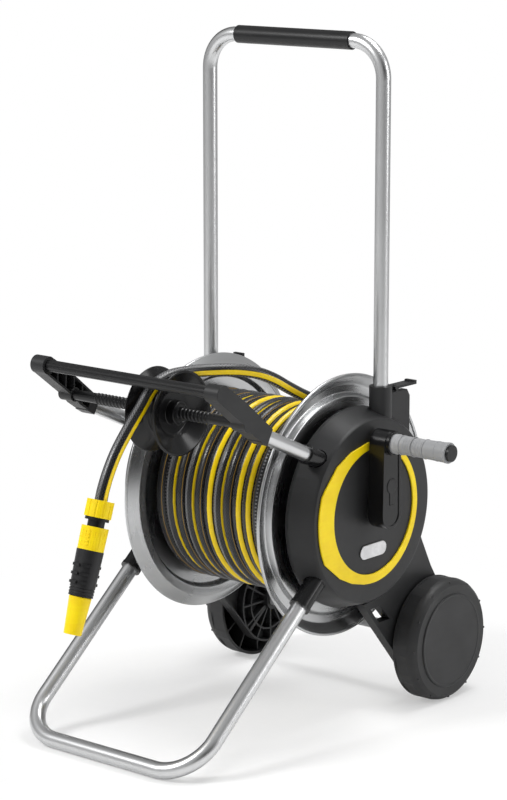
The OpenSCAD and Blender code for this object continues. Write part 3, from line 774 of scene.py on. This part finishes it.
def row_tree(tree, given, out, piece):
    """Repeats a piece along Z, places the row, makes it real and gives it its finish."""
    step = value_node(tree, "ShaderNodeCombineXYZ", {"Z": given["Spacing"]}).outputs[0]
    points = value_node(tree, "GeometryNodeMeshLine", {"Count": given["Count"], "Offset": step}).outputs[0]
    row = value_node(tree, "GeometryNodeInstanceOnPoints", {"Points": points, "Instance": piece}).outputs[0]
    turn = value_node(tree, "FunctionNodeEulerToRotation", {0: given["Turn"]}).outputs[0]
    placing = {"Geometry": row, "Translation": given["Place"], "Rotation": turn}
    placed = value_node(tree, "GeometryNodeTransform", placing).outputs[0]
    real = value_node(tree, "GeometryNodeRealizeInstances", {"Geometry": placed}).outputs[0]
    finishing = {"Geometry": real, "Material": given["Finish"]}
    finished = value_node(tree, "GeometryNodeSetMaterial", finishing).outputs[0]
    tree.links.new(finished, out.inputs["Geometry"])


def ring_row_tree():
    """Rings of round section, evenly spaced along Z."""
    sizes = (("Radius", "NodeSocketFloat"), ("Section", "NodeSocketFloat"))
    tree, given, out = node_tree("ring_row", ROW + sizes + PLACING)
    curves = {"Curve": circle(tree, 64, given["Radius"]), "Profile Curve": circle(tree, 10, given["Section"])}
    row_tree(tree, given, out, value_node(tree, "GeometryNodeCurveToMesh", curves).outputs["Mesh"])
    return tree


def block_row_tree():
    """Blocks in a straight row along Z."""
    sizes = (("Size", "NodeSocketVector"),)
    tree, given, out = node_tree("block_row", ROW + sizes + PLACING)
    block = value_node(tree, "GeometryNodeMeshCube", {"Size": given["Size"]}).outputs["Mesh"]
    row_tree(tree, given, out, block)
    return tree


def built(name, tree, place, material, body, **values):
    """Runs a tree with its inputs at a place, as a plain mesh that rides with a body."""
    obj = mesh_object(name, [], [], smooth=False)
    modifier = obj.modifiers.new("build", "NODES")
    modifier.node_group = tree
    values.update(Place=tuple(place.to_translation()), Turn=tuple(place.to_euler()), Finish=material)
    for item in tree.interface.items_tree:
        if item.in_out == "INPUT":
            modifier[item.identifier] = values[item.name]
    baked(obj)
    dress(obj, material)
    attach(obj, body)


RING_ROW = ring_row_tree()
BLOCK_ROW = block_row_tree()
FIRST_BAND_X = 218
ALONG_X = Matrix.Rotation(math.pi / 2, 4, "Y")
NOZZLE_FRAME = Matrix.Translation(NOZZLE_TOP) @ Matrix.Rotation(NOZZLE_TILT, 4, "X")


def crank_grip_bands():
    grip = middle("crank_grip")
    first_band = Matrix.Translation((at(FIRST_BAND_X, 0, 0).x, grip.y, grip.z)) @ ALONG_X
    built(
        "crank_grip_bands", RING_ROW, first_band, grip_rubber, nodes["crank_grip"]["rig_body"],
        Count=4, Spacing=19 * MM, Radius=13.0 * MM, Section=0.55 * MM,
    )


def raised_bars(name, node, material, turns, radius, first, count, spacing, size):
    """Rows of bars along a nozzle fitting, at turns in degrees round its axis; sizes in millimetres."""
    for turn in turns:
        outwards = Matrix.Rotation(math.radians(turn), 4, "Z")
        place = NOZZLE_FRAME @ outwards @ Matrix.Translation((radius * MM, 0, first * MM))
        built(
            f"{name}_{turn}", BLOCK_ROW, place, material, nodes[node]["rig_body"],
            Count=count, Spacing=spacing * MM, Size=tuple(s * MM for s in size),
        )


crank_grip_bands()
raised_bars(
    "nozzle_grip_bars", "nozzle_grip", black_rubber, turns=(50, 98, 230, 278),
    radius=17, first=84, count=3, spacing=11, size=(3.4, 12, 3.6),
)
raised_bars(
    "release_sleeve_bars", "connector_sleeve", yellow_plastic, turns=(85, 265),
    radius=17.1, first=39, count=5, spacing=4.6, size=(1.6, 11, 1.6),
)

# ---------------------------------------------------------------- studio

FLOOR_REACH = 30
# How far from the reel the floor starts to turn white for the camera, and where it is all white
SHADOW_ENDS, WHITE_STARTS = 0.34, 0.78
WHITE_AT_CENTRE = 0.4
DARK_SIDE = math.radians(28)
LIGHT_AIM = (REEL.x, REEL.y, 0.35)
# Each light's name, place, size and power
LIGHTS = (
    ("key", (-1.4, -2.6, 2.7), (1.1, 1.1), 88),
    ("fill", (2.7, 1.3, 1.5), (0.7, 2.2), 26),
    ("top", (0.4, 0.9, 3.0), (1.6, 1.0), 46),
)


def add_floor():
    """A pale floor that keeps the cart's shadow and turns pure white, to the camera only, away from it."""
    corners = [(sx * FLOOR_REACH, sy * FLOOR_REACH, 0) for sx, sy in ((-1, -1), (1, -1), (1, 1), (-1, 1))]
    floor = mesh_object("floor", corners, [(0, 1, 2, 3)])
    material, tree, shader = new_material("studio_floor")
    place = object_place(tree)
    speckle = noise(tree, place, 60.0, 3.0)
    pale = mixed(tree, speckle, (0.9, 0.9, 0.9, 1), (0.94, 0.94, 0.94, 1))
    finish(tree, shader, Base_Color=pale, Roughness=0.9)
    under_reel = {0: place, 1: (REEL.x, REEL.y, 0)}
    distance = value_node(tree, "ShaderNodeVectorMath", under_reel, operation="DISTANCE").outputs["Value"]
    away = value_node(
        tree, "ShaderNodeMapRange", {"Value": distance, "From Min": SHADOW_ENDS, "From Max": WHITE_STARTS},
        interpolation_type="SMOOTHSTEP",
    ).outputs[0]
    seen = value_node(tree, "ShaderNodeLightPath").outputs["Is Camera Ray"]
    white = value_node(tree, "ShaderNodeEmission", {"Color": (1, 1, 1, 1), "Strength": 1.0}).outputs[0]
    clear = maths(tree, "MULTIPLY", spread(tree, away, 0.0, 1.0, WHITE_AT_CENTRE, 1.0), seen)
    both = value_node(tree, "ShaderNodeMixShader", {0: clear, 1: shader.outputs[0], 2: white})
    tree.links.new(both.outputs[0], tree.nodes["Material Output"].inputs["Surface"])
    dress(floor, material)


def add_light(name, place, size, power):
    data = bpy.data.lights.new(name, "AREA")
    data.shape = "RECTANGLE"
    data.size, data.size_y = size
    data.energy = power
    lamp = bpy.data.objects.new(name, data)
    bpy.context.scene.collection.objects.link(lamp)
    lamp.location = place
    lamp.rotation_euler = (Vector(LIGHT_AIM) - Vector(place)).to_track_quat("-Z", "Y").to_euler()


def add_world():
    """White behind the cart, and a softer room with darker sides for its light and its reflections."""
    world = bpy.data.worlds.new("studio")
    bpy.context.scene.world = world
    world.use_nodes = True
    tree = world.node_tree
    background = tree.nodes["Background"]
    direction = value_node(tree, "ShaderNodeTexCoord").outputs["Generated"]
    x, y, z = value_node(tree, "ShaderNodeSeparateXYZ", {0: direction}).outputs
    turn = maths(tree, "ARCTAN2", y, x)
    from_dark = maths(tree, "MULTIPLY", maths(tree, "ADD", turn, DARK_SIDE), 2.0)
    walls = spread(tree, maths(tree, "COSINE", from_dark), 0.3, 0.95, 0.5, 0.02)
    room = maths(tree, "MAXIMUM", walls, spread(tree, z, 0.35, 0.8, 0.0, 0.45))
    seen = value_node(tree, "ShaderNodeLightPath").outputs["Is Camera Ray"]
    unseen = maths(tree, "SUBTRACT", 1.0, seen)
    strength = maths(tree, "ADD", maths(tree, "MULTIPLY", room, unseen), seen)
    tree.links.new(strength, background.inputs["Strength"])
    background.inputs["Color"].default_value = (1, 1, 1, 1)


add_floor()
add_world()
for light in LIGHTS:
    add_light(*light)
bpy.context.scene.view_settings.view_transform = "Standard"
